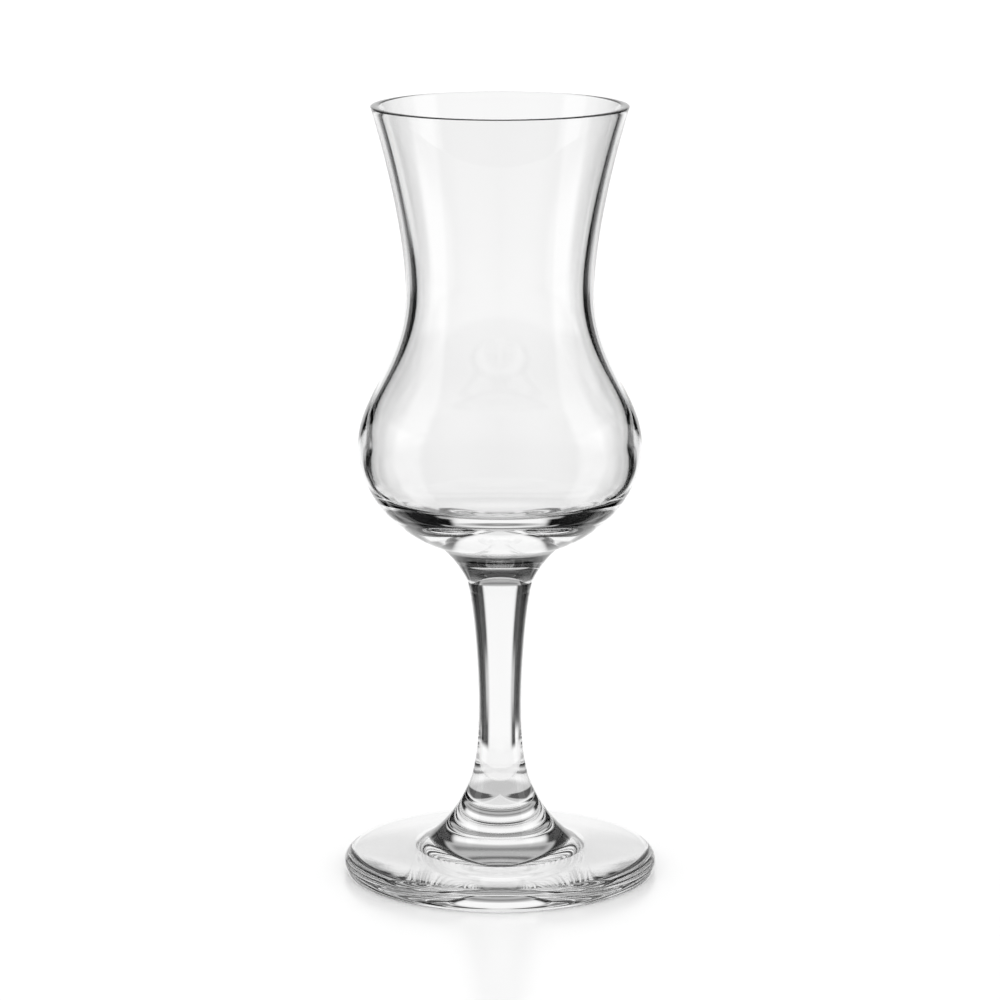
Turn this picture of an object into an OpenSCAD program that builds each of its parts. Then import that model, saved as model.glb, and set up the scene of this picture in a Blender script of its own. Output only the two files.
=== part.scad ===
// Clear stemmed aquavit glass, made of three pieces of glass fused while hot:
// a blown bowl, a drawn stem and a pressed foot.
// Millimetres. The axis of the glass is Z and it stands on the plane z = 0.

/* [Foot] */
// Diameter of the foot at its widest
foot_d = 61; // [54:0.2:74]
// Height of the foot, from the table to the weld under the stem
foot_h = 20.5; // [16:0.5:28]
// Height of the widest line of the rounded edge above the table
edge_low_h = 1.8; // [1.2:0.05:2.4]
// Height of the rounded edge above its widest line
edge_high_h = 2.2; // [1.2:0.05:2.8]
// How far the rounding runs in under the edge
edge_low_w = 0.8; // [0.5:0.1:2]
// How far the rounding runs in over the edge
edge_high_w = 3; // [0.8:0.1:4]
// Diameter at which the cone has run out into the disc
disc_d = 34; // [28:0.5:44]
// Slope of the upper face of the disc, in degrees from level
disc_slope = 5.5; // [1:0.5:9]
// Width of the flat ring that the glass stands on
ring_w = 2.4; // [1.5:0.1:4]
// Depth of the hollow in the underside at the axis
hollow_h = 1.3; // [0.4:0.1:2]

/* [Stem] */
// Length of the stem, from weld to weld
stem_l = 37; // [28:0.5:55]
// Diameter at the weld on the foot
stem_foot_d = 10.2; // [9:0.1:14]
// Diameter of the stem at its thinnest
stem_d = 8.3; // [6.5:0.1:10]
// Height of the thinnest place above the weld on the foot
stem_thin_h = 11.9; // [8:0.1:20]
// Diameter at the weld under the bowl
stem_bowl_d = 12.5; // [10:0.1:17]
// Widening of the radius towards the foot at its weld, per millimetre of height
foot_taper = 0.2; // [0.1:0.01:0.4]
// Widening of the radius towards the bowl at its weld, per millimetre of height
bowl_taper = 0.22; // [0.1:0.01:0.4]

/* [Bowl] */
// Height from the weld on the stem up to the belly
base_h = 27.3; // [22:0.1:35]
// Height from the belly up to the waist
shoulder_h = 29.7; // [22:0.1:38]
// Height from the waist up to the top of the lip
flare_h = 35.5; // [26:0.1:46]
// Diameter of the belly
belly_d = 54.6; // [46:0.2:66]
// Diameter of the waist
waist_d = 36; // [30:0.2:44]
// Diameter over the lip
rim_d = 49.1; // [44:0.1:60]
// Lean of the wall at the mouth, in degrees from upright
rim_lean = 17; // [8:0.5:26]
// Diameter at which the underside turns from the belly to the stem
turn_d = 25.9; // [21:0.1:32]
// Height of that turn above the weld on the stem
turn_h = 8; // [5:0.1:10]
// Slope of the underside at the turn, in degrees from level
turn_slope = 18; // [10:0.5:32]

/* [Wall] */
// Thickness of the wall at the lip
lip_t = 1.6; // [1.2:0.1:2.6]
// Height of the fire-polished rounding over the lip
lip_round_h = 0.24; // [0.12:0.02:0.6]
// Thickness of the wall at the waist
waist_wall = 2.1; // [1.6:0.1:5]
// Thickness of the wall at the belly
belly_wall = 2.3; // [1.6:0.1:5]
// Thickness of the glass on the axis, from the weld up to the floor of the cavity
floor_t = 14; // [12:0.1:17]
// Height of the widest part of the cavity above the belly
chamber_rise = 1; // [0:0.1:4]

/* [Curves] */
// Pull of the flare at the mouth, as a share of its height
flare_pull_mouth = 0.28; // [0.15:0.01:0.6]
// Pull of the flare at the waist, as a share of its height
flare_pull_waist = 0.28; // [0.15:0.01:0.6]
// Pull of the shoulder at the waist, as a share of its height
shoulder_pull_waist = 0.47; // [0.2:0.01:0.7]
// Pull of the shoulder at the belly, as a share of its height
shoulder_pull_belly = 0.31; // [0.2:0.01:0.7]
// Pull of the underside at the belly, as a share of its height
base_pull_belly = 0.58; // [0.3:0.01:0.7]
// Pull of the underside at its turn, as a share of its width
base_pull_turn = 0.35; // [0.2:0.01:0.7]
// Pull of the neck under the bowl at the turn, as a share of its width
neck_pull_turn = 0.42; // [0.2:0.01:0.7]
// Pull of the neck under the bowl at the weld, as a share of its height
neck_pull_weld = 0.22; // [0.1:0.01:0.6]
// Pull of the stem above its thinnest place, as a share of the length there
stem_pull_high = 0.27; // [0.2:0.01:0.5]
// Pull of the stem below its thinnest place, as a share of the length there
stem_pull_low = 0.39; // [0.2:0.01:0.5]
// Pull of the cone at the weld, as a share of its height
cone_pull_weld = 0.52; // [0.3:0.01:0.7]
// Pull of the cone at the disc, as a share of its width
cone_pull_disc = 0.29; // [0.15:0.01:0.6]
// Pull of the cavity's floor at its side, as a share of its depth
floor_pull_side = 0.85; // [0.4:0.01:0.95]
// Pull of the cavity's floor at the axis, as a share of its radius
floor_pull_axis = 0.85; // [0.4:0.01:0.95]

/* [Hidden] */
// Straight steps along each curve
CURVE_STEPS = 24;
// Straight steps along each rounded edge
ROUND_STEPS = 10;
// Steps around the axis
$fn = 180;
// Pull of the hollow underside, as a share of its radius
HOLLOW_PULL = 0.35;
GLASS = [0.86, 0.9, 0.92, 0.45];

foot_weld_z = foot_h;
bowl_weld_z = foot_weld_z + stem_l;
belly_z = bowl_weld_z + base_h;
waist_z = belly_z + shoulder_h;
rim_z = waist_z + flare_h;
floor_z = bowl_weld_z + floor_t;
chamber_z = belly_z + chamber_rise;

// Directions along the curves, pointing down the glass, as [radius, height]
down = [0, -1];
inward = [-1, 0];
flare_way = [-sin(rim_lean), -cos(rim_lean)];
turn_way = [-cos(turn_slope), -sin(turn_slope)];
bowl_weld_way = unit([-bowl_taper, -1]);
foot_weld_way = unit([foot_taper, -1]);
disc_way = [cos(disc_slope), -sin(disc_slope)];

// Points that the curves of the bowl run through, from the lip down
lip_w = lip_t / 2;
lip = [rim_d / 2 - lip_w, rim_z - lip_round_h];
// Angle on the rounding of the lip at which the leaning wall meets it
lip_turn = atan(tan(rim_lean) * lip_round_h / lip_w);
lip_edge = [lip_w * cos(lip_turn), -lip_round_h * sin(lip_turn)];
wall_top = lip + lip_edge;
mouth = lip - lip_edge;
waist = [waist_d / 2, waist_z];
neck = waist - [waist_wall, 0];
belly = [belly_d / 2, belly_z];
chamber = [belly_d / 2 - belly_wall, chamber_z];
turn = [turn_d / 2, bowl_weld_z + turn_h];
cavity_floor = [0, floor_z];

// Points of the stem and the foot
bowl_weld = [stem_bowl_d / 2, bowl_weld_z];
thin = [stem_d / 2, foot_weld_z + stem_thin_h];
foot_weld = [stem_foot_d / 2, foot_weld_z];
edge_high_mid = [foot_d / 2 - edge_high_w, edge_low_h];
edge_low_mid = [foot_d / 2 - edge_low_w, edge_low_h];
edge_start = atan2(edge_high_h, edge_high_w * tan(disc_slope));
edge_top = edge_high_mid + [edge_high_w * cos(edge_start), edge_high_h * sin(edge_start)];
disc = [disc_d / 2, edge_top[1] + (edge_top[0] - disc_d / 2) * tan(disc_slope)];
ring_inner = [edge_low_mid[0] - ring_w, 0];
hollow = [0, hollow_h];

function unit(v) = v / norm(v);
function reversed(points) = [for (i = [len(points) - 1 : -1 : 0]) points[i]];

// Cubic curve that leaves a along way_a and reaches d along way_d, without a itself
function curve(a, way_a, pull_a, d, way_d, pull_d) =
    let (b = a + way_a * pull_a, c = d - way_d * pull_d)
    [for (i = [1 : CURVE_STEPS])
        let (t = i / CURVE_STEPS, s = 1 - t)
        s * s * s * a + 3 * s * s * t * b + 3 * s * t * t * c + t * t * t * d];

// Rounded edge about a middle point, without its first point
function round_edge(middle, wide, high, from, to) =
    [for (i = [1 : ROUND_STEPS])
        let (angle = from + (to - from) * i / ROUND_STEPS)
        middle + [wide * cos(angle), high * sin(angle)]];

// Outer wall of the bowl, from under the lip down to the weld
function bowl_outside() = concat(
    [wall_top],
    curve(wall_top, flare_way, flare_pull_mouth * flare_h, waist, down, flare_pull_waist * flare_h),
    curve(waist, down, shoulder_pull_waist * shoulder_h, belly, down, shoulder_pull_belly * shoulder_h),
    curve(belly, down, base_pull_belly * (base_h - turn_h),
          turn, turn_way, base_pull_turn * (belly[0] - turn[0])),
    curve(turn, turn_way, neck_pull_turn * (turn[0] - bowl_weld[0]),
          bowl_weld, bowl_weld_way, neck_pull_weld * turn_h));

// Cavity of the bowl, from the mouth down to its floor on the axis
function bowl_inside() = concat(
    curve(mouth, flare_way, flare_pull_mouth * flare_h, neck, down, flare_pull_waist * flare_h),
    curve(neck, down, shoulder_pull_waist * shoulder_h, chamber, down, shoulder_pull_belly * shoulder_h),
    curve(chamber, down, floor_pull_side * (chamber_z - floor_z),
          cavity_floor, inward, floor_pull_axis * chamber[0]));

// Side of the stem, from the weld under the bowl down to the weld on the foot
function stem_side() = concat(
    [bowl_weld],
    curve(bowl_weld, bowl_weld_way, stem_pull_high * (stem_l - stem_thin_h),
          thin, down, stem_pull_high * (stem_l - stem_thin_h)),
    curve(thin, down, stem_pull_low * stem_thin_h,
          foot_weld, foot_weld_way, stem_pull_low * stem_thin_h));

// Outside of the foot, from its weld over the disc and the edge to the standing ring
function foot_outside() = concat(
    [foot_weld],
    curve(foot_weld, foot_weld_way, cone_pull_weld * (foot_h - disc[1]),
          disc, disc_way, cone_pull_disc * (disc[0] - foot_weld[0])),
    [edge_top],
    round_edge(edge_high_mid, edge_high_w, edge_high_h, edge_start, 0),
    round_edge(edge_low_mid, edge_low_w, edge_low_h, 0, -90));

// Underside of the foot, from the standing ring up to the hollow on the axis
function foot_underside() = concat(
    [ring_inner],
    curve(ring_inner, inward, HOLLOW_PULL * ring_inner[0], hollow, inward, HOLLOW_PULL * ring_inner[0]));

// One piece of glass, turned from its section
module turned(section) {
    color(GLASS) rotate_extrude() polygon(section);
}

module bowl() {
    lip_round = concat(
        round_edge(lip, lip_w, lip_round_h, -lip_turn, 90),
        round_edge(lip, lip_w, lip_round_h, 90, 180 - lip_turn));
    turned(concat([[0, bowl_weld_z]], reversed(bowl_outside()), lip_round, bowl_inside()));
}

module stem() {
    turned(concat([[0, foot_weld_z], [0, bowl_weld_z]], stem_side()));
}

module foot() {
    turned(concat([[0, foot_weld_z]], foot_outside(), foot_underside()));
}

bowl();
stem();
foot();
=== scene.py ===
"""Clear stemmed aquavit glass on a pale, glossy table, in soft studio light.

The glass is three pieces fused while hot: a blown bowl, a drawn stem and a pressed foot.
Each one is drawn as half a section and turned about the axis of the glass, in metres.
"""

import logging
import math
from dataclasses import dataclass
from enum import Enum

import bpy
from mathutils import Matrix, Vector


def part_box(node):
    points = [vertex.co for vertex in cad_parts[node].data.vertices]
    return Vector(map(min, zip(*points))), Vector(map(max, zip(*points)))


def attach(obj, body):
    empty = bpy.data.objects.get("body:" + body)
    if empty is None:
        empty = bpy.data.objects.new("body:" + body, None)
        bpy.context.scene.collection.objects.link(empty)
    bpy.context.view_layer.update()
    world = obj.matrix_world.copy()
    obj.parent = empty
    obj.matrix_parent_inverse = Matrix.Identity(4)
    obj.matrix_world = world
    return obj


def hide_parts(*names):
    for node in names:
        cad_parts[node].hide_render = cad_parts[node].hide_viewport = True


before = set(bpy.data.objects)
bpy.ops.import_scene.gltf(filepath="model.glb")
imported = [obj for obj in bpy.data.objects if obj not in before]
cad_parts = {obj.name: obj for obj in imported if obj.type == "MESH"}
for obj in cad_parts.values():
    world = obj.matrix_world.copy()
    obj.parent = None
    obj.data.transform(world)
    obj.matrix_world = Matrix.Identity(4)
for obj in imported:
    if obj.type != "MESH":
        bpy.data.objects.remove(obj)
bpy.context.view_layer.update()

LOG = logging.getLogger("aquavit_glass")
BODY = "root"
WELD_TOLERANCE = 1e-6
# Upright share of the normal above which a face counts as level
LEVEL_NORMAL = 0.999
# Largest angle between two faces that are shaded as one, in degrees
SMOOTH_ANGLE = 30.0
# How much closer the fine ripple of the glass lies than the broad one
FINE_RIPPLE_SCALE = 3.7
# Light that stays under this count was never mirrored
NEVER_MIRRORED = 0.5
# Light that passes this count has crossed more than the two faces of solid glass
TWO_FACES = 2.5
MOST_BOUNCES = 32
MOST_MIRRORED_BOUNCES = 16
DOWN = Vector((0.0, 0.0, -1.0))
INWARD = Vector((-1.0, 0.0, 0.0))


class Fineness(Enum):
    """Straight steps that one stroke of a section is cut into."""

    STRAIGHT = 6
    ROUND = 32
    CURVE = 44


def at(radius: float, height: float) -> Vector:
    """Point of a section at that radius and height."""
    return Vector((radius, 0.0, height))


def sloping_down(lean: float) -> Vector:
    """Way down a wall that leans outwards by that many degrees from upright."""
    return Vector((-math.sin(math.radians(lean)), 0.0, -math.cos(math.radians(lean))))


def running_in(slope: float) -> Vector:
    """Way in towards the axis along a face that falls by that many degrees from level."""
    return Vector((-math.cos(math.radians(slope)), 0.0, -math.sin(math.radians(slope))))


def running_out(slope: float) -> Vector:
    """Way out from the axis along a face that falls by that many degrees from level."""
    return Vector((math.cos(math.radians(slope)), 0.0, -math.sin(math.radians(slope))))


class Section:
    """Half a section of a turned piece, drawn stroke by stroke in the XZ plane."""

    def __init__(self, start: Vector) -> None:
        """Starts the section.

        Args:
            start: First point of the section.
        """
        self.end = start
        self.strokes: list[bpy.types.Object] = []

    def _stroke(self, ahead: Vector, back: Vector, end: Vector, fineness: Fineness) -> "Section":
        """Draws one Bezier stroke from the end of the section.

        Args:
            ahead: Handle at the start of the stroke.
            back: Handle at the end of the stroke.
            end: Last point of the stroke.
            fineness: How finely the stroke is cut.

        Returns:
            The section, so that strokes can be chained.
        """
        bpy.ops.object.select_all(action="DESELECT")
        bpy.ops.curve.primitive_bezier_curve_add(location=(0.0, 0.0, 0.0))
        drawn = bpy.context.object
        spline = drawn.data.splines[0]
        spline.resolution_u = fineness.value
        first, last = spline.bezier_points
        for knot in (first, last):
            knot.handle_left_type = "FREE"
            knot.handle_right_type = "FREE"
        first.co = self.end
        first.handle_left = self.end
        first.handle_right = ahead
        last.co = end
        last.handle_left = back
        last.handle_right = end
        self.strokes.append(drawn)
        self.end = end
        return self

    def line(self, end: Vector) -> "Section":
        """Draws a straight stroke.

        Args:
            end: Last point of the stroke.

        Returns:
            The section.
        """
        third = (end - self.end) / 3
        return self._stroke(self.end + third, end - third, end, Fineness.STRAIGHT)

    def curve(self, way: Vector, pull: float, end: Vector, end_way: Vector, end_pull: float) -> "Section":
        """Draws a curve that leaves one way and arrives another.

        Args:
            way: Direction in which the stroke leaves.
            pull: Length of the handle there.
            end: Last point of the stroke.
            end_way: Direction in which the stroke arrives.
            end_pull: Length of the handle there.

        Returns:
            The section.
        """
        ahead = self.end + way.normalized() * pull
        back = end - end_way.normalized() * end_pull
        return self._stroke(ahead, back, end, Fineness.CURVE)

    def arc(self, middle: Vector, wide: float, high: float, start: float, stop: float) -> "Section":
        """Draws a rounded edge as a stroke of an ellipse.

        Args:
            middle: Middle of the ellipse.
            wide: Its half width.
            high: Its half height.
            start: Angle where the stroke starts, in degrees.
            stop: Angle where it stops, at most a quarter turn further.

        Returns:
            The section.
        """
        first, last = math.radians(start), math.radians(stop)
        handle = 4 / 3 * math.tan((last - first) / 4)
        begin = middle + at(wide * math.cos(first), high * math.sin(first))
        end = middle + at(wide * math.cos(last), high * math.sin(last))
        ahead = begin + handle * at(-wide * math.sin(first), high * math.cos(first))
        back = end - handle * at(-wide * math.sin(last), high * math.cos(last))
        return self._stroke(ahead, back, end, Fineness.ROUND)

    def turned(self, name: str, steps: int) -> bpy.types.Object:
        """Turns the section about the axis into a closed piece with smooth faces.

        Args:
            name: Name of the piece.
            steps: Steps of the whole turn.

        Returns:
            The new piece.
        """
        bpy.ops.object.select_all(action="DESELECT")
        for drawn in self.strokes:
            drawn.select_set(True)
        bpy.context.view_layer.objects.active = self.strokes[0]
        bpy.ops.object.join()
        bpy.ops.object.convert(target="MESH")
        piece = bpy.context.object
        piece.name = name
        piece.data.name = name
        bpy.ops.object.mode_set(mode="EDIT")
        bpy.ops.mesh.select_all(action="SELECT")
        bpy.ops.mesh.remove_doubles(threshold=WELD_TOLERANCE)
        bpy.ops.object.mode_set(mode="OBJECT")
        bpy.ops.object.modifier_add(type="SCREW")
        lathe = piece.modifiers[-1]
        lathe.axis = "Z"
        lathe.angle = math.tau
        lathe.steps = steps
        lathe.render_steps = steps
        lathe.use_merge_vertices = True
        lathe.merge_threshold = WELD_TOLERANCE
        bpy.ops.object.modifier_apply(modifier=lathe.name)
        bpy.ops.object.mode_set(mode="EDIT")
        bpy.ops.mesh.select_all(action="SELECT")
        bpy.ops.mesh.remove_doubles(threshold=WELD_TOLERANCE)
        bpy.ops.mesh.normals_make_consistent(inside=False)
        bpy.ops.object.mode_set(mode="OBJECT")
        bpy.ops.object.shade_smooth_by_angle(angle=math.radians(SMOOTH_ANGLE))
        return piece


def ripple_group() -> bpy.types.NodeTree:
    """Makes the node group of the faint ripple that working by hand leaves in glass.

    Returns:
        The group, with the height of the ripple as its output.
    """
    group = bpy.data.node_groups.new("hand_worked_ripple", "ShaderNodeTree")
    sockets = group.interface
    sockets.new_socket("Density", in_out="INPUT", socket_type="NodeSocketVector")
    sockets.new_socket("Fine share", in_out="INPUT", socket_type="NodeSocketFloat")
    sockets.new_socket("Height", in_out="OUTPUT", socket_type="NodeSocketFloat")
    nodes, links = group.nodes, group.links
    given = nodes.new("NodeGroupInput")
    result = nodes.new("NodeGroupOutput")
    place = nodes.new("ShaderNodeTexCoord")
    stretch = nodes.new("ShaderNodeVectorMath")
    stretch.operation = "MULTIPLY"
    broad = nodes.new("ShaderNodeTexNoise")
    broad.inputs["Scale"].default_value = 1.0
    broad.inputs["Detail"].default_value = 0.0
    fine = nodes.new("ShaderNodeTexNoise")
    fine.inputs["Scale"].default_value = FINE_RIPPLE_SCALE
    fine.inputs["Detail"].default_value = 1.0
    mix = nodes.new("ShaderNodeMix")
    links.new(place.outputs["Object"], stretch.inputs[0])
    links.new(given.outputs["Density"], stretch.inputs[1])
    links.new(stretch.outputs["Vector"], broad.inputs["Vector"])
    links.new(stretch.outputs["Vector"], fine.inputs["Vector"])
    links.new(given.outputs["Fine share"], mix.inputs["Factor"])
    links.new(broad.outputs["Fac"], mix.inputs["A"])
    links.new(fine.outputs["Fac"], mix.inputs["B"])
    links.new(mix.outputs["Result"], result.inputs["Height"])
    return group


@dataclass(frozen=True)
class ClearGlass:
    """Colourless fire-polished glass, with the faint ripple of its making.

    Ripples are counted per metre across and along the axis, and their depth is in metres.
    """

    name: str
    ripples_across: float
    ripples_along: float
    ripple_depth: float
    fine_share: float = 0.15
    ior: float = 1.52

    def material(self, ripple: bpy.types.NodeTree) -> bpy.types.Material:
        """Makes the material.

        Args:
            ripple: Node group of the ripple.

        Returns:
            The new material.
        """
        made = bpy.data.materials.new(self.name)
        made.use_nodes = True
        nodes, links = made.node_tree.nodes, made.node_tree.links
        shader = nodes["Principled BSDF"]
        shader.inputs["Base Color"].default_value = (1.0, 1.0, 1.0, 1.0)
        shader.inputs["Roughness"].default_value = 0.0
        shader.inputs["IOR"].default_value = self.ior
        shader.inputs["Transmission Weight"].default_value = 1.0
        worked = nodes.new("ShaderNodeGroup")
        worked.node_tree = ripple
        density = (self.ripples_across, self.ripples_across, self.ripples_along)
        worked.inputs["Density"].default_value = density
        worked.inputs["Fine share"].default_value = self.fine_share
        bump = nodes.new("ShaderNodeBump")
        bump.inputs["Strength"].default_value = 1.0
        bump.inputs["Distance"].default_value = self.ripple_depth
        links.new(worked.outputs["Height"], bump.inputs["Height"])
        links.new(bump.outputs["Normal"], shader.inputs["Normal"])
        return made


@dataclass(frozen=True)
class FusedWeld:
    """The place where two pieces have melted into one, which light crosses unchanged."""

    name: str = "fused_weld"

    def material(self) -> bpy.types.Material:
        """Makes the material.

        Returns:
            The new material.
        """
        made = bpy.data.materials.new(self.name)
        made.use_nodes = True
        nodes, links = made.node_tree.nodes, made.node_tree.links
        nodes.remove(nodes["Principled BSDF"])
        clear = nodes.new("ShaderNodeBsdfTransparent")
        links.new(clear.outputs["BSDF"], nodes["Material Output"].inputs["Surface"])
        return made


@dataclass
class TurnedPiece:
    """A piece of the glass that is turned from its section and fused to its neighbours."""

    node: str
    finish: ClearGlass
    turn_steps: int

    def section(self) -> Section:
        """Draws the half section of the piece."""
        raise NotImplementedError

    def welds(self) -> list[float]:
        """Heights of the flat welds on the piece."""
        raise NotImplementedError

    def build(self) -> bpy.types.Object:
        """Turns the piece and puts it in the place of its CAD node.

        Returns:
            The new piece.
        """
        piece = self.section().turned(f"clear_{self.node}", self.turn_steps)
        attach(piece, BODY)
        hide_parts(self.node)
        return piece

    def dress(self, piece: bpy.types.Object, ripple: bpy.types.NodeTree, weld: bpy.types.Material) -> None:
        """Gives the piece its glass, and its flat welds the fused material.

        Args:
            piece: The piece.
            ripple: Node group of the ripple.
            weld: Material of the welds.
        """
        piece.data.materials.clear()
        piece.data.materials.append(self.finish.material(ripple))
        piece.data.materials.append(weld)
        heights = self.welds()
        for face in piece.data.polygons:
            flat = abs(face.normal.z) > LEVEL_NORMAL
            fused = any(abs(face.center.z - height) < WELD_TOLERANCE for height in heights)
            face.material_index = 1 if flat and fused else 0


@dataclass
class Bowl(TurnedPiece):
    """Blown bowl: a flared mouth over a narrow waist, and a round belly on a thick base."""

    stem_bowl_d: float = 0.0125
    bowl_taper: float = 0.22
    turn_d: float = 0.0259
    turn_h: float = 0.008
    turn_slope: float = 18.0
    base_h: float = 0.0273
    shoulder_h: float = 0.0297
    belly_d: float = 0.0546
    waist_d: float = 0.036
    rim_d: float = 0.0491
    rim_lean: float = 17.0
    lip_t: float = 0.0016
    lip_round_h: float = 0.00024
    # Angle on the rounding of the lip where one stroke ends and the next begins, in degrees
    lip_split: float = 42.0
    waist_wall: float = 0.0021
    belly_wall: float = 0.0023
    chamber_rise: float = 0.001
    floor_t: float = 0.014
    # Pulls at the two ends of each curve, the upper end first, as shares of its height or width
    flare_pulls: tuple[float, float] = (0.28, 0.28)
    shoulder_pulls: tuple[float, float] = (0.47, 0.31)
    base_pulls: tuple[float, float] = (0.58, 0.35)
    neck_pulls: tuple[float, float] = (0.42, 0.22)
    floor_pulls: tuple[float, float] = (0.85, 0.85)

    def welds(self) -> list[float]:
        """Heights of the flat welds on the bowl."""
        return [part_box(self.node)[0].z]

    def section(self) -> Section:
        """Draws the bowl from the weld up its outside, over the lip and down to its floor.

        Returns:
            The section.
        """
        low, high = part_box(self.node)
        belly_z = low.z + self.base_h
        waist_z = belly_z + self.shoulder_h
        flare_h = high.z - waist_z
        weld = at(self.stem_bowl_d / 2, low.z)
        turn = at(self.turn_d / 2, low.z + self.turn_h)
        belly = at(self.belly_d / 2, belly_z)
        waist = at(self.waist_d / 2, waist_z)
        lip_w = self.lip_t / 2
        lip = at(self.rim_d / 2 - lip_w, high.z - self.lip_round_h)
        lip_turn = math.atan(math.tan(math.radians(self.rim_lean)) * self.lip_round_h / lip_w)
        lip_edge = at(lip_w * math.cos(lip_turn), -self.lip_round_h * math.sin(lip_turn))
        wall_top = lip + lip_edge
        weld_way = Vector((-self.bowl_taper, 0.0, -1.0))
        turn_way = running_in(self.turn_slope)
        flare_way = sloping_down(self.rim_lean)
        neck = waist + INWARD * self.waist_wall
        chamber = at(belly.x - self.belly_wall, belly_z + self.chamber_rise)
        floor = at(0.0, low.z + self.floor_t)
        flare_mouth, flare_waist = (pull * flare_h for pull in self.flare_pulls)
        shoulder_waist, shoulder_belly = (pull * self.shoulder_h for pull in self.shoulder_pulls)
        base_belly = self.base_pulls[0] * (belly.z - turn.z)
        base_turn = self.base_pulls[1] * (belly.x - turn.x)
        neck_turn = self.neck_pulls[0] * (turn.x - weld.x)
        neck_weld = self.neck_pulls[1] * self.turn_h
        floor_side = self.floor_pulls[0] * (chamber.z - floor.z)
        floor_axis = self.floor_pulls[1] * chamber.x
        lip_stop = math.degrees(lip_turn)
        drawn = Section(at(0.0, low.z))
        drawn.line(weld)
        drawn.curve(-weld_way, neck_weld, turn, -turn_way, neck_turn)
        drawn.curve(-turn_way, base_turn, belly, -DOWN, base_belly)
        drawn.curve(-DOWN, shoulder_belly, waist, -DOWN, shoulder_waist)
        drawn.curve(-DOWN, flare_waist, wall_top, -flare_way, flare_mouth)
        drawn.arc(lip, lip_w, self.lip_round_h, -lip_stop, self.lip_split)
        drawn.arc(lip, lip_w, self.lip_round_h, self.lip_split, 90.0)
        drawn.arc(lip, lip_w, self.lip_round_h, 90.0, 180.0 - lip_stop)
        drawn.curve(flare_way, flare_mouth, neck, DOWN, flare_waist)
        drawn.curve(DOWN, shoulder_waist, chamber, DOWN, shoulder_belly)
        drawn.curve(DOWN, floor_side, floor, INWARD, floor_axis)
        return drawn


@dataclass
class Stem(TurnedPiece):
    """Drawn stem, thinnest a third of the way up and wider at both welds."""

    stem_foot_d: float = 0.0102
    stem_d: float = 0.0083
    stem_thin_h: float = 0.0119
    stem_bowl_d: float = 0.0125
    foot_taper: float = 0.2
    bowl_taper: float = 0.22
    high_pull: float = 0.27
    low_pull: float = 0.39

    def welds(self) -> list[float]:
        """Heights of the flat welds on the stem."""
        low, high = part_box(self.node)
        return [low.z, high.z]

    def section(self) -> Section:
        """Draws the stem from the weld on the foot up to the weld under the bowl.

        Returns:
            The section.
        """
        low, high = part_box(self.node)
        thin = at(self.stem_d / 2, low.z + self.stem_thin_h)
        foot_weld = at(self.stem_foot_d / 2, low.z)
        bowl_weld = at(self.stem_bowl_d / 2, high.z)
        foot_way = Vector((-self.foot_taper, 0.0, 1.0))
        bowl_way = Vector((self.bowl_taper, 0.0, 1.0))
        low_pull = self.low_pull * self.stem_thin_h
        high_pull = self.high_pull * (high.z - thin.z)
        drawn = Section(at(0.0, low.z))
        drawn.line(foot_weld)
        drawn.curve(foot_way, low_pull, thin, -DOWN, low_pull)
        drawn.curve(-DOWN, high_pull, bowl_weld, bowl_way, high_pull)
        drawn.line(at(0.0, high.z))
        return drawn


@dataclass
class Foot(TurnedPiece):
    """Pressed foot: a cone that runs out into a disc with a rounded edge, hollow underneath."""

    stem_foot_d: float = 0.0102
    foot_taper: float = 0.2
    disc_d: float = 0.034
    disc_slope: float = 5.5
    edge_low_h: float = 0.0018
    edge_high_h: float = 0.0022
    edge_low_w: float = 0.0008
    edge_high_w: float = 0.003
    ring_w: float = 0.0024
    hollow_h: float = 0.0013
    # Pulls at the two ends of the cone, the upper end first, as shares of its height and width
    cone_pulls: tuple[float, float] = (0.52, 0.29)
    hollow_pull: float = 0.35

    def welds(self) -> list[float]:
        """Heights of the flat welds on the foot."""
        return [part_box(self.node)[1].z]

    def section(self) -> Section:
        """Draws the foot from its weld over the disc and the edge to its hollow underside.

        Returns:
            The section.
        """
        low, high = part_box(self.node)
        weld = at(self.stem_foot_d / 2, high.z)
        slope = math.tan(math.radians(self.disc_slope))
        upper = at(high.x - self.edge_high_w, self.edge_low_h)
        lower = at(high.x - self.edge_low_w, self.edge_low_h)
        start = math.atan2(self.edge_high_h, self.edge_high_w * slope)
        edge = upper + at(self.edge_high_w * math.cos(start), self.edge_high_h * math.sin(start))
        disc = at(self.disc_d / 2, edge.z + (edge.x - self.disc_d / 2) * slope)
        ring = at(lower.x - self.ring_w, low.z)
        hollow = at(0.0, self.hollow_h)
        weld_way = Vector((self.foot_taper, 0.0, -1.0))
        disc_way = running_out(self.disc_slope)
        cone_weld = self.cone_pulls[0] * (weld.z - disc.z)
        cone_disc = self.cone_pulls[1] * (disc.x - weld.x)
        hollow_pull = self.hollow_pull * ring.x
        drawn = Section(at(0.0, high.z))
        drawn.line(weld)
        drawn.curve(weld_way, cone_weld, disc, disc_way, cone_disc)
        drawn.line(edge)
        drawn.arc(upper, self.edge_high_w, self.edge_high_h, math.degrees(start), 0.0)
        drawn.arc(lower, self.edge_low_w, self.edge_low_h, 0.0, -90.0)
        drawn.line(ring)
        drawn.curve(INWARD, hollow_pull, hollow, INWARD, hollow_pull)
        return drawn


class Side(Enum):
    """Which side of straight behind the glass a card stands on."""

    LEFT = -1
    BOTH = 0
    RIGHT = 1


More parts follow.
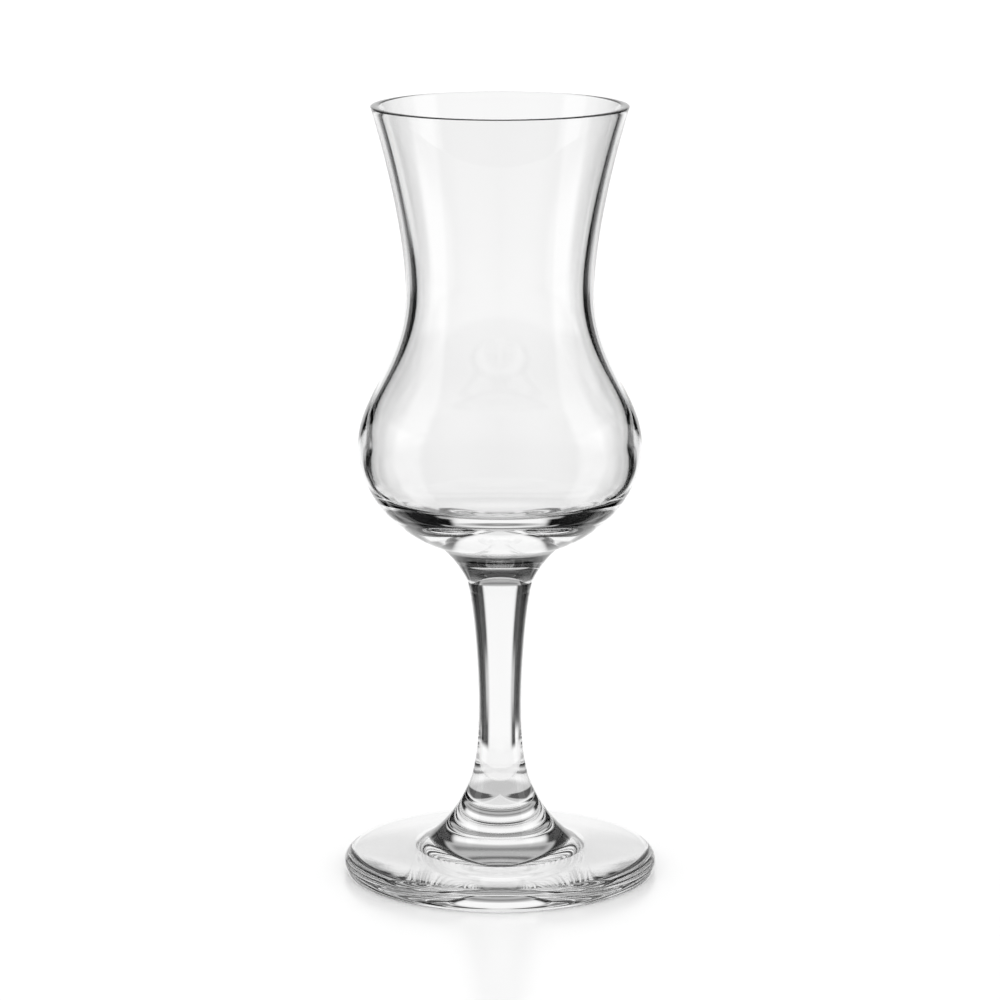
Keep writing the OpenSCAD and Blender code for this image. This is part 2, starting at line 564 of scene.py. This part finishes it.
@dataclass(frozen=True)
class Card:
    """A card or soft light of the studio, as the glass sees it, in degrees.

    Bearings count from straight behind the glass, and heights from the horizon.
    Its edges fade over twice the soft value.
    """

    bearing: tuple[float, float]
    height: tuple[float, float]
    light: float
    soft: float
    side: Side = Side.BOTH
    mirrored_only: bool = False


class Panorama:
    """The room that the glass sees, painted card over card on the sky."""

    def __init__(self, tree: bpy.types.NodeTree, room: float) -> None:
        """Starts with an even room.

        Args:
            tree: Node tree of the world.
            room: Light of the room between the cards.
        """
        self.nodes = tree.nodes
        self.links = tree.links
        way = self.nodes.new("ShaderNodeTexCoord").outputs["Generated"]
        parts = self.nodes.new("ShaderNodeSeparateXYZ")
        self.links.new(way, parts.inputs["Vector"])
        across, along, up = parts.outputs
        right = self._degrees(self._math("ARCTAN2", across, along))
        self.bearings = {
            Side.RIGHT: right,
            Side.LEFT: self._math("MULTIPLY", right, -1.0),
            Side.BOTH: self._math("ABSOLUTE", right),
        }
        self.height = self._degrees(self._math("ARCSINE", up))
        path = self.nodes.new("ShaderNodeLightPath")
        self.mirrored = path.outputs["Is Reflection Ray"]
        self.turned_back = path.outputs["Glossy Depth"]
        self.crossed = path.outputs["Transmission Depth"]
        start = self.nodes.new("ShaderNodeValue")
        start.outputs["Value"].default_value = room
        self.light = start.outputs["Value"]

    def _math(self, operation: str, *values: bpy.types.NodeSocket | float) -> bpy.types.NodeSocket:
        """Adds a Math node.

        Args:
            operation: What it works out.
            values: Its inputs, as sockets or numbers.

        Returns:
            Its result.
        """
        node = self.nodes.new("ShaderNodeMath")
        node.operation = operation
        for socket, value in zip(node.inputs, values):
            if isinstance(value, float):
                socket.default_value = value
            else:
                self.links.new(value, socket)
        return node.outputs["Value"]

    def _degrees(self, radians: bpy.types.NodeSocket) -> bpy.types.NodeSocket:
        """Turns radians into degrees."""
        return self._math("MULTIPLY", radians, 180.0 / math.pi)

    def _step(self, value: bpy.types.NodeSocket, edge: float, soft: float) -> bpy.types.NodeSocket:
        """Makes a soft step from 0 to 1.

        Args:
            value: What is stepped over.
            edge: Where the step is.
            soft: Half the width of the step.

        Returns:
            The step.
        """
        node = self.nodes.new("ShaderNodeMapRange")
        node.interpolation_type = "SMOOTHSTEP"
        node.inputs["From Min"].default_value = edge - soft
        node.inputs["From Max"].default_value = edge + soft
        self.links.new(value, node.inputs["Value"])
        return node.outputs["Result"]

    def _between(
        self, value: bpy.types.NodeSocket, ends: tuple[float, float], soft: float
    ) -> bpy.types.NodeSocket:
        """Makes a mask that is 1 between two ends.

        Args:
            value: What is masked.
            ends: Where the mask starts and stops.
            soft: Half the width of its edges.

        Returns:
            The mask.
        """
        over = self._step(value, ends[0], soft)
        past = self._step(value, ends[1], soft)
        return self._math("SUBTRACT", over, past)

    def _paint(self, mask: bpy.types.NodeSocket, light: float) -> None:
        """Paints a light where a mask is 1.

        Args:
            mask: The mask.
            light: The light.
        """
        mix = self.nodes.new("ShaderNodeMix")
        self.links.new(mask, mix.inputs["Factor"])
        self.links.new(self.light, mix.inputs["A"])
        mix.inputs["B"].default_value = light
        self.light = mix.outputs["Result"]

    def add(self, card: Card) -> None:
        """Paints a card over the ones before.

        Args:
            card: The card.
        """
        across = self._between(self.bearings[card.side], card.bearing, card.soft)
        upright = self._between(self.height, card.height, card.soft)
        mask = self._math("MULTIPLY", across, upright)
        if card.mirrored_only:
            mask = self._math("MULTIPLY", mask, self.mirrored)
        self._paint(mask, card.light)

    def clear_through(self, light: float, edge: float, soft: float) -> None:
        """Shows white to light that came through the glass without being mirrored.

        Light that crossed a hollow sees it at every height. Light through solid glass sees it only
        where it points down, and sees the cards above that.

        Args:
            light: Light of the white.
            edge: Height under which light through solid glass sees it, in degrees.
            soft: Half the width of that edge.
        """
        straight = self._math("LESS_THAN", self.turned_back, NEVER_MIRRORED)
        hollow = self._math("GREATER_THAN", self.crossed, TWO_FACES)
        low = self._math("SUBTRACT", 1.0, self._step(self.height, edge, soft))
        either = self._math("MAXIMUM", hollow, low)
        self._paint(self._math("MULTIPLY", straight, either), light)


@dataclass
class Studio:
    """Pale glossy table in an even white room, and the painted room that the glass sees.

    The camera and the table see only the even room. Light that the glass has just bent or mirrored
    sees the painted cards and soft lights instead, and no table.
    """

    floor_size: float = 8.0
    floor_gap: float = 0.00005
    floor_white: float = 0.86
    floor_roughness: float = 0.25
    room_light: float = 1.2
    dark_room: float = 0.02
    clear_light: float = 0.97
    clear_edge: float = -24.0
    clear_soft: float = 2.0
    cards: tuple[Card, ...] = (
        # The table, the soft light in front, and the dimmer table close to the foot
        Card((-10.0, 190.0), (-100.0, -17.0), 0.95, 3.0),
        Card((112.0, 190.0), (-100.0, 24.0), 1.0, 40.0),
        Card((-10.0, 190.0), (-100.0, -47.0), 0.6, 9.0),
        # The backdrop, with three dark bars up high and a white middle down low
        Card((-10.0, 33.0), (-36.0, 62.0), 0.48, 4.0),
        Card((-10.0, 26.0), (19.0, 26.0), 0.25, 3.0),
        Card((-10.0, 26.0), (36.0, 42.0), 0.15, 3.0),
        Card((-10.0, 26.0), (50.0, 54.0), 0.15, 2.0),
        Card((-10.0, 23.0), (-100.0, 12.0), 1.0, 4.0),
        Card((-10.0, 20.0), (-100.0, -42.0), 0.8, 6.0),
        # The dim table at both sides
        Card((38.0, 80.0), (-78.0, -46.0), 0.1, 4.0),
        Card((52.0, 80.0), (-45.0, -17.0), 0.25, 5.0),
        # Black cards beside the backdrop, which draw the dark edges of the glass
        Card((26.0, 36.0), (-32.0, -15.0), 0.003, 2.0),
        Card((24.0, 51.0), (-9.5, 16.0), 0.003, 2.0),
        Card((31.0, 51.0), (-16.0, 100.0), 0.003, 2.0, Side.LEFT),
        Card((31.0, 51.0), (-36.0, 100.0), 0.003, 2.0, Side.RIGHT),
        Card((51.0, 58.0), (-17.0, 100.0), 0.1, 2.0),
        # Soft lights at both sides
        Card((58.0, 66.0), (-17.0, 8.0), 0.35, 3.0),
        Card((66.0, 112.0), (-17.0, 8.0), 1.04, 4.0),
        # What the glass mirrors: a dark room with a tall soft light at each side
        Card((40.0, 190.0), (-70.0, 100.0), 0.02, 4.0, mirrored_only=True),
        Card((68.0, 84.0), (-45.0, 60.0), 0.35, 4.0, mirrored_only=True),
        Card((84.0, 112.0), (-45.0, 60.0), 1.3, 4.0, mirrored_only=True),
    )

    def floor_material(self) -> bpy.types.Material:
        """Makes the white of the table.

        Returns:
            The new material.
        """
        made = bpy.data.materials.new("white_table")
        made.use_nodes = True
        shader = made.node_tree.nodes["Principled BSDF"]
        white = self.floor_white
        shader.inputs["Base Color"].default_value = (white, white, white, 1.0)
        shader.inputs["Roughness"].default_value = self.floor_roughness
        return made

    def lay_floor(self) -> None:
        """Lays the table a hair under the standing ring."""
        bpy.ops.object.select_all(action="DESELECT")
        bpy.ops.mesh.primitive_plane_add(size=self.floor_size, location=(0.0, 0.0, -self.floor_gap))
        floor = bpy.context.object
        floor.name = "table"
        floor.data.materials.append(self.floor_material())
        floor.visible_transmission = False
        floor.visible_glossy = False

    def light_room(self) -> None:
        """Fills the room with even white light, and paints the cards that the glass sees."""
        world = bpy.data.worlds.new("white_room")
        bpy.context.scene.world = world
        world.use_nodes = True
        nodes, links = world.node_tree.nodes, world.node_tree.links
        for node in list(nodes):
            nodes.remove(node)
        seen = Panorama(world.node_tree, self.dark_room)
        for card in self.cards:
            seen.add(card)
        seen.clear_through(self.clear_light, self.clear_edge, self.clear_soft)
        path = nodes.new("ShaderNodeLightPath")
        even = nodes.new("ShaderNodeBackground")
        even.inputs["Color"].default_value = (1.0, 1.0, 1.0, 1.0)
        even.inputs["Strength"].default_value = self.room_light
        painted = nodes.new("ShaderNodeBackground")
        painted.inputs["Color"].default_value = (1.0, 1.0, 1.0, 1.0)
        links.new(seen.light, painted.inputs["Strength"])
        mix = nodes.new("ShaderNodeMixShader")
        out = nodes.new("ShaderNodeOutputWorld")
        links.new(path.outputs["Is Singular Ray"], mix.inputs["Fac"])
        links.new(even.outputs["Background"], mix.inputs[1])
        links.new(painted.outputs["Background"], mix.inputs[2])
        links.new(mix.outputs["Shader"], out.inputs["Surface"])

    def set_up(self) -> None:
        """Sets up the table and the light."""
        self.lay_floor()
        self.light_room()


@dataclass
class PhotoCamera:
    """Camera at the viewing angle of the photograph."""

    distance: float = 0.78481
    height: float = 0.23854
    pitch_down: float = 11.8654
    lens: float = 149.65
    sensor: float = 36.0

    def place(self) -> None:
        """Places the camera and makes it the scene's own."""
        bpy.ops.object.select_all(action="DESELECT")
        tilt = math.radians(90.0 - self.pitch_down)
        bpy.ops.object.camera_add(location=(0.0, -self.distance, self.height), rotation=(tilt, 0.0, 0.0))
        camera = bpy.context.object
        camera.data.lens = self.lens
        camera.data.sensor_width = self.sensor
        bpy.context.scene.camera = camera


def set_rendering() -> None:
    """Lets light cross all the surfaces of the glass, and shows white as white."""
    scene = bpy.context.scene
    scene.view_settings.view_transform = "Standard"
    scene.cycles.max_bounces = MOST_BOUNCES
    scene.cycles.transmission_bounces = MOST_BOUNCES
    scene.cycles.glossy_bounces = MOST_MIRRORED_BOUNCES
    scene.cycles.transparent_max_bounces = MOST_BOUNCES


def main() -> None:
    """Builds the glass piece by piece, and the studio round it."""
    logging.basicConfig(level=logging.INFO, format="%(name)s: %(message)s")
    ripple = ripple_group()
    weld = FusedWeld().material()
    blown = ClearGlass(
        "clear_blown_glass", ripples_across=60.0, ripples_along=25.0, ripple_depth=0.000012
    )
    drawn = ClearGlass(
        "clear_drawn_glass", ripples_across=150.0, ripples_along=25.0, ripple_depth=0.000006
    )
    pressed = ClearGlass(
        "clear_pressed_glass", ripples_across=60.0, ripples_along=60.0, ripple_depth=0.000002
    )
    pieces = [
        Bowl("bowl", blown, turn_steps=208),
        Stem("stem", drawn, turn_steps=400),
        Foot("foot", pressed, turn_steps=400),
    ]
    for made in pieces:
        piece = made.build()
        made.dress(piece, ripple, weld)
        LOG.info("%s: %d faces, stands for %s", piece.name, len(piece.data.polygons), made.node)
    Studio().set_up()
    PhotoCamera().place()
    set_rendering()


if __name__ == "__main__":
    main()
